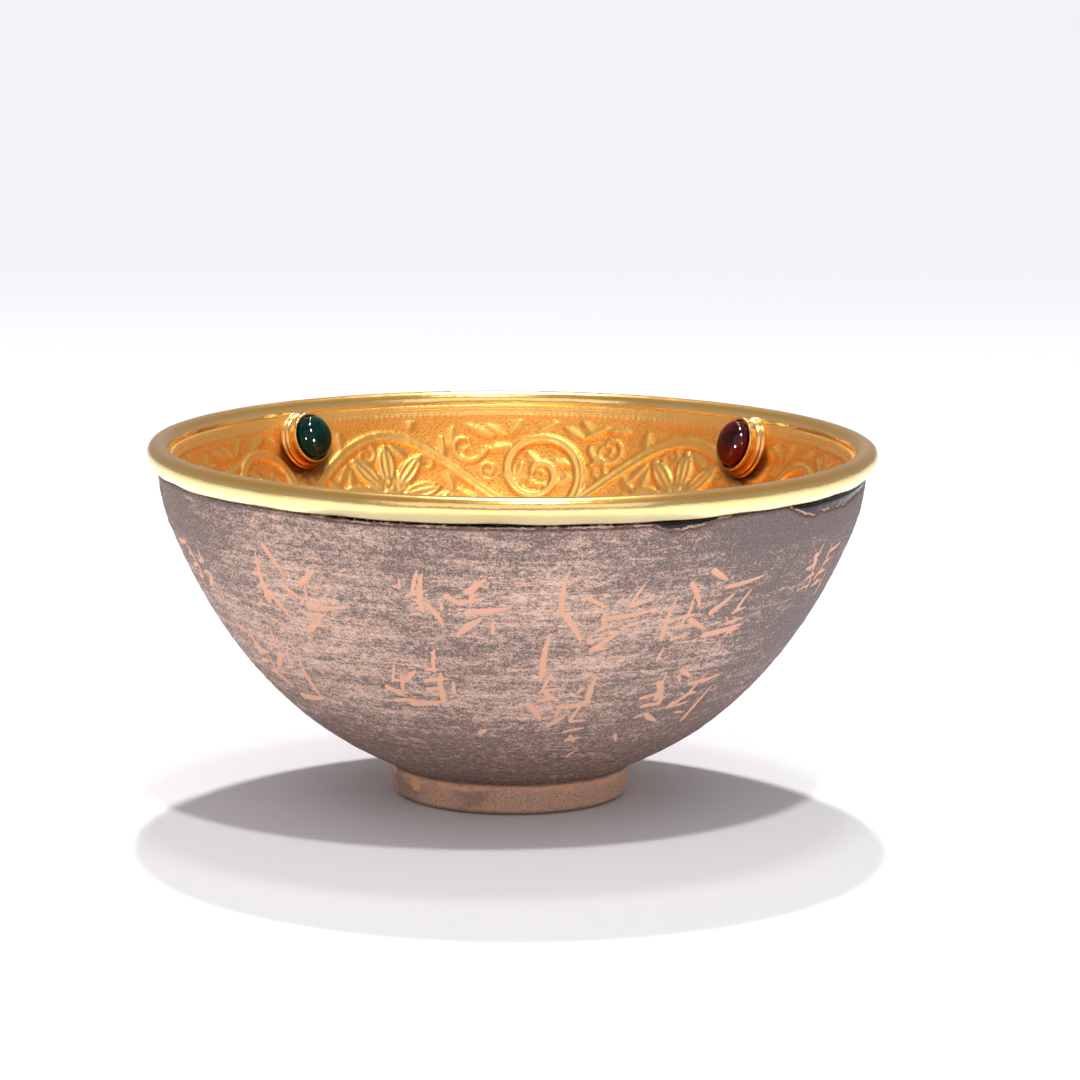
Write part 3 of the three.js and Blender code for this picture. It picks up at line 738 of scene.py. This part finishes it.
def fine_marks(values):
    """A list of rings of values: those given for the fine rows of the sheet, 0 elsewhere."""
    marks = [np.zeros(len(ring)) for ring in rings]
    marks[first_fine:first_fine + len(values)] = list(values)
    return marks


# A painted shadow on the lining below and round each setting, kept as the shade mark.
painted_shadow_under_setting = part_of(1.5 - room, 0.5) * np.clip(
    0.5 + (fine_drops[:, None] - stone_drop) / 5, 0, 1)
gold_lining = skin_mesh("gold_lining", rings, {
    "raised": fine_marks(relief), "ground": fine_marks(ground_share),
    "shade": fine_marks(painted_shadow_under_setting)})


def lining_finish():
    """Deep yellow gold with a satin, slightly crumpled skin: brighter on the raised work, a
    painted highlight, and paler near the lip, a painted sheen, browner and duller in the stippled
    ground, where punch marks stand close, and darkest in a painted shadow below each setting."""
    finish, tree, shader, place, (_, _, height) = new_finish("lining_finish", Metallic=0.92)
    raised, ground, shade = (kept(tree, mark) for mark in ("raised", "ground", "shade"))
    cloud = noise(tree, place, 60)
    fine = noise(tree, place, 900, 3.0)
    crumple = noise(tree, place, 300, 3.0)
    punched = add(tree, "ShaderNodeTexVoronoi", {"Vector": place, "Scale": 2500.0})
    dots = eased(tree, punched.outputs["Distance"], 0.15, 0.5)
    dull = sums(tree, "MULTIPLY", ground, eased(tree, dots, 0, 1, 0.62, 0.05))
    # The raised work is painted lighter: a painted highlight.
    colour = mixed(tree, eased(tree, raised, 0.05, 0.5), (252, 184, 90), (255, 208, 118))
    for share, tone in (
            (sums(tree, "MULTIPLY", cloud, 0.5), (248, 174, 78)), (dull, (184, 108, 42)),
            # Paler near the lip: a painted sheen.
            (eased(tree, height, 0.0555, 0.0585, 0, 0.5), (255, 224, 142)),
            # Darkest below each setting: a painted shadow.
            (eased(tree, shade, 0.1, 0.8, 0, 0.85), (92, 44, 18))):
        colour = mixed(tree, share, colour, tone)
    sheen = plus(tree, sums(tree, "MULTIPLY", cloud, 0.2), ground, 0.12)
    deep = plus(tree, sums(tree, "MULTIPLY", dots, ground), fine, 0.25)
    dress(tree, shader, colour, sums(tree, "ADD", sheen, 0.28), plus(tree, deep, crumple, 5.0),
          0.3, 0.0002)
    return finish


gold_lining.data.materials.append(lining_finish())
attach(gold_lining, "root")
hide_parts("gold_lining")

# Rim band: a strip of paler gold folded over the lip and burnished down by hand, so that its
# outer face swells, its lower edge wanders a little and its skin shows soft dents.
band_bulge, band_swell, band_crown, band_roundness = 1.6, 1.6, 2.0, 0.85
band_radius = edge_radius + band_bulge
band_inner = lip_radius - lip_wall - band_thickness - fit_gap


def band_outline():
    """The outside of the strip from its lower edge over the crown to its inner edge, as a
    face that swells with a power of the distance up, and half of a squared oval."""
    crown_foot = band_top - band_crown
    share = np.linspace(1, 0, 12, endpoint=False)
    face = np.stack([band_radius - band_bulge * share**band_swell,
                     crown_foot - share * (crown_foot - band_edge)], axis=1)
    angle = np.linspace(0, np.pi, 25)
    middle, half = (band_radius + band_inner) / 2, (band_radius - band_inner) / 2
    across = np.sign(np.cos(angle)) * np.abs(np.cos(angle)) ** band_roundness
    crown = np.stack([middle + half * across,
                      crown_foot + band_crown * np.sin(angle) ** band_roundness], axis=1)
    leaf = np.stack([np.full(3, band_inner),
                     np.linspace(crown_foot - 0.05, band_top - band_inner_height, 3)], axis=1)
    return np.concatenate([face, crown, leaf])


band_face = band_outline()
band_along = np.gradient(band_face, axis=0)
band_along /= np.linalg.norm(band_along, axis=1, keepdims=True)
band_back = band_face + np.stack([-band_along[:, 1], band_along[:, 0]], axis=1) * band_thickness
edge_rounds = [0.5 * (band_face[k] + band_back[k]) + 0.1 * way * band_along[k]
               for k, way in ((-1, 1), (0, -1))]
band_rows = np.concatenate([band_face, edge_rounds[:1], band_back[::-2], edge_rounds[1:]])
band_turns = np.linspace(0, full_turn, 480, endpoint=False)
pressed = ripple(band_turns[None, :], band_rows[:, 1:],
                 [(3, 0.02), (7, 0.06), (11, -0.09), (19, 0.12), (31, -0.1)], 11)
wander = ripple(band_turns[None, :], 0, [(4, 0), (9, 0), (17, 0), (28, 0)], 12)
band_dent, band_wander, band_inset, band_lowering = 0.09, 0.2, 0.13, 0.12
low_share = part_of(band_top - band_rows[:, 1:] - 2.4, 2.2) * (band_rows[:, :1] > 58)
rim_band = skin_mesh("rim_band", list(turned_rings(
    band_rows[:, :1] + band_dent * (pressed - 1) - band_inset * (band_rows[:, :1] > 60),
    band_rows[:, 1:] + band_wander * wander * low_share - band_lowering,
    band_turns)), joined=True)


def burnished_finish(name, low, high, crest, belly):
    """Burnished gold, soft and slightly clouded between two colours, with fine hand-rubbed
    scratches. The crest of the lip and the lower part of the band's face each take a colour that
    is a painted reflection, and on a setting, lower still, it darkens to brown in painted shade."""
    finish, tree, shader, place, (_, _, height) = new_finish(name, Metallic=1.0)
    cloud = noise(tree, place, 90)
    rubbed = noise(tree, place, 700, 3.0, (1, 1, 4))
    colour = mixed(tree, cloud, low, high)
    for share, tone in (
            # The lower part of the band's face is paler: a painted reflection.
            (eased(tree, height, 0.0577, 0.0592, 0.85, 0), belly),
            # The crest of the lip is darker and redder: a painted reflection.
            (eased(tree, height, 0.0600, 0.0609), crest),
            # Lower still, on a setting, a painted shade darkens it to brown.
            (eased(tree, height, 0.0500, 0.0545, 0.85, 0), (96, 48, 22))):
        colour = mixed(tree, share, colour, tone)
    sheen = sums(tree, "ADD", sums(tree, "MULTIPLY", cloud, 0.16), 0.12)
    dress(tree, shader, colour, sheen, plus(tree, cloud, rubbed, 0.2), 0.35, 0.0004)
    return finish


rim_band.data.materials.append(burnished_finish(
    "band_finish", (255, 208, 134), (255, 228, 164), (250, 192, 102), (255, 246, 192)))
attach(rim_band, "root")
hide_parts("rim_band")

# Settings: four oval bezels of gold sheet with two wire rings round the foot, soldered to the
# lining a quarter turn apart, square to it. Their rims are pushed over the stones.
oval_sizes = {"red": (6.5, 8.3), "green": (6.9, 7.6)}
stone_colours = {"back_right": "red", "back_left": "green", "front_left": "red",
                 "front_right": "green"}
setting_lip, setting_height, setting_wire, setting_bed = 0.5, 3.7, 0.7, 1.1


def setting_frame(degrees):
    """Place of a setting on the lining, and its directions along the rim, up the wall and
    out of the wall."""
    radius, height = inside_place(stone_drop, lining_face)
    near, low = inside_place(stone_drop, lining_face + 1)
    place, out = (turned_rings(*sizes, np.radians(degrees))
                  for sizes in ((radius, height), (near - radius, low - height)))
    along = np.cross([0, 0, 1], out)
    along /= np.linalg.norm(along)
    return place, np.stack([along, np.cross(out, along), out])


def oval_arc(centre, halves, start, end):
    """Nine points of an oval between two angles, given its middle and its half axes."""
    return np.array(centre) + heading(np.linspace(start, end, 9), 1).T * halves


def oval_rings(outline, corner, sides=96):
    """Rings of an oval piece in its place. Its outline gives the distance past the edge of
    the stone and the height off the lining, and a single point closes each end."""
    wide, tall = oval_sizes[stone_colours[corner]]
    mean = (wide + tall) / 4
    past, height = np.array(outline, float).T
    turns = np.linspace(0, full_turn, sides, endpoint=False)
    flat = turned_rings((mean + past)[:, None], height[:, None], turns)
    flat *= [wide / 2 / mean, tall / 2 / mean, 1]
    place, directions = setting_frame(stone_places[corner])
    ends = [np.array([[0, 0, height[0]]]), np.array([[0, 0, height[-1]]])]
    return [ring @ directions + place for ring in (ends[0], *flat, ends[1])]


collar = fit_gap + setting_lip
wire = collar + setting_wire
bed_height = setting_height - setting_bed
lower_wire = oval_arc((collar + 0.32, 0.5), (0.38, 0.42), -70, 80)
upper_wire = oval_arc((collar + 0.12, 1.35), (0.28, 0.34), -70, 80)
collar_rim = oval_arc((fit_gap + setting_lip / 2 - 0.05, setting_height - 0.3), (0.3, 0.3), 0, 180)
bezel_outline = np.concatenate([
    [(-1, -0.7), (wire - 0.2, -0.7), (wire - 0.2, -0.1)], lower_wire, upper_wire,
    [(collar - 0.02, 1.9), (collar - 0.08, 2.6)], collar_rim,
    [(fit_gap, bed_height + 0.05), (fit_gap - 0.2, bed_height), (-2, bed_height)]])
# The lower part of each setting darkens to brown in painted shade.
setting_finish = burnished_finish(
    "setting_finish", (232, 178, 108), (248, 204, 140), (240, 186, 112), (236, 184, 116))
for corner in stone_places:
    bezel = skin_mesh("bezel_" + corner, oval_rings(bezel_outline, corner))
    bezel.data.materials.append(setting_finish)
    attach(bezel, "root")
    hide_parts("bezel_" + corner)

# Stones: polished cabochons, two garnet red and two deep green, ground with a straight girdle
# under a high dome. The red ones let a little light through. The lamps for the glints light
# only the stones, which is what the collection is for.
girdle_height, dome_rise = 1.1, 2.3
stone_seat = bed_height + fit_gap
stone_edge = stone_seat + girdle_height


def dome_outline(corner):
    """The girdle straight up, then a quarter of an oval to the top of the dome."""
    mean = sum(oval_sizes[stone_colours[corner]]) / 4
    angle = np.radians(np.linspace(0, 87, 20))
    dome = np.stack([mean * (np.cos(angle) - 1), stone_edge + dome_rise * np.sin(angle)], axis=1)
    foot = [(-0.5, stone_seat), (-0.12, stone_seat), (0, stone_seat + 0.12)]
    return np.concatenate([foot, [(0, stone_edge - 0.3)], dome])


def stone_finish(name, deep, light, glow):
    """Dark stone: a deep body colour, clouded a little inside with a lighter one, under a hard
    polish. The glow is the share of light that passes through it."""
    finish, tree, shader, place, _ = new_finish(
        name, Roughness=0.07, IOR=1.7, Transmission_Weight=glow, Specular_IOR_Level=0.09)
    cloud = noise(tree, place, 260, 3.0)
    tree.links.new(mixed(tree, eased(tree, cloud, 0.35, 0.7), deep, light),
                   shader.inputs["Base Color"])
    return finish


stone_finishes = {
    "red": stone_finish("red_stone_finish", (42, 2, 2), (104, 10, 6), 0.15),
    "green": stone_finish("green_stone_finish", (1, 36, 30), (3, 58, 46), 0.0),
}
polished = bpy.data.collections.new("polished")
for corner, colour in stone_colours.items():
    stone = skin_mesh("stone_" + corner, oval_rings(dome_outline(corner), corner))
    stone.data.materials.append(stone_finishes[colour])
    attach(stone, "root")
    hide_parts("stone_" + corner)
    polished.objects.link(stone)

# Floor and light: white paper that runs back out of the light, three small bright lamps that
# throw the overlapping round shadows, four lamps for the glints on the stones, which light
# nothing else, and a broad soft panel in front for the gold.
paper_reach = 9.0
corners = [(x, y, 0) for x, y in ((-1, -1), (1, -1), (1, 1), (-1, 1))]
paper_mesh = bpy.data.meshes.new("paper_floor")
paper_mesh.from_pydata([Vector(corner) * paper_reach for corner in corners], [], [(0, 1, 2, 3)])
paper_floor = bpy.data.objects.new("paper_floor", paper_mesh)
bpy.context.scene.collection.objects.link(paper_floor)
paper, tree, shader, place, (across, back, _) = new_finish(
    "paper", Roughness=0.9, Specular_IOR_Level=0.2)
# The paper darkens towards the back and the sides: a painted falloff of the light.
side = eased(tree, sums(tree, "MULTIPLY", across, across), 0.02, 0.2)
far = sums(tree, "MAXIMUM", eased(tree, back, -0.1, 0.85), side)
tree.links.new(mixed(tree, far, (238, 237, 240), (195, 194, 198)), shader.inputs["Base Color"])
paper_mesh.materials.append(paper)


def hold(lamp, place):
    """Put a lamp at a place, turned to face the bowl."""
    holder = bpy.data.objects.new(lamp.name, lamp)
    bpy.context.scene.collection.objects.link(holder)
    holder.location = place
    aim = Vector((0, 0, 0.03)) - holder.location
    holder.rotation_euler = aim.to_track_quat("-Z", "Y").to_euler()
    return holder


glint = 4.2, 8
for name, place, (strength, spread) in (
        ("overhead", (0.057, -0.18, 0.6), (1.3, 3)), ("behind", (0.0, 0.375, 0.6), (2.6, 3)),
        ("upper", (0.036, 0.13, 0.6), (0.5, 9)), ("glint_top", (0.16, -0.2, 0.98), glint),
        ("glint_right", (0.33, -0.62, 0.74), glint), ("glint_low", (0.556, -0.823, 0.143), glint),
        ("glint_left", (-0.3, -0.93, 0.17), glint)):
    lamp = bpy.data.lights.new(name, "SUN")
    lamp.energy, lamp.angle = strength, radians(spread)
    holder = hold(lamp, place)
    if name.startswith("glint"):
        holder.visible_diffuse = False
        holder.light_linking.receiver_collection = polished
panel = bpy.data.lights.new("panel", "AREA")
panel.shape, panel.size, panel.size_y, panel.energy = "RECTANGLE", 2.6, 1.1, 6.5
hold(panel, (0.05, -1.45, 0.95))
studio = bpy.data.worlds.new("studio")
studio.use_nodes = True
studio.node_tree.nodes["Background"].inputs[0].default_value = (0.9, 0.91, 0.95, 1)
studio.node_tree.nodes["Background"].inputs[1].default_value = 0.42
bpy.context.scene.world = studio
bpy.context.scene.view_settings.view_transform = "Standard"
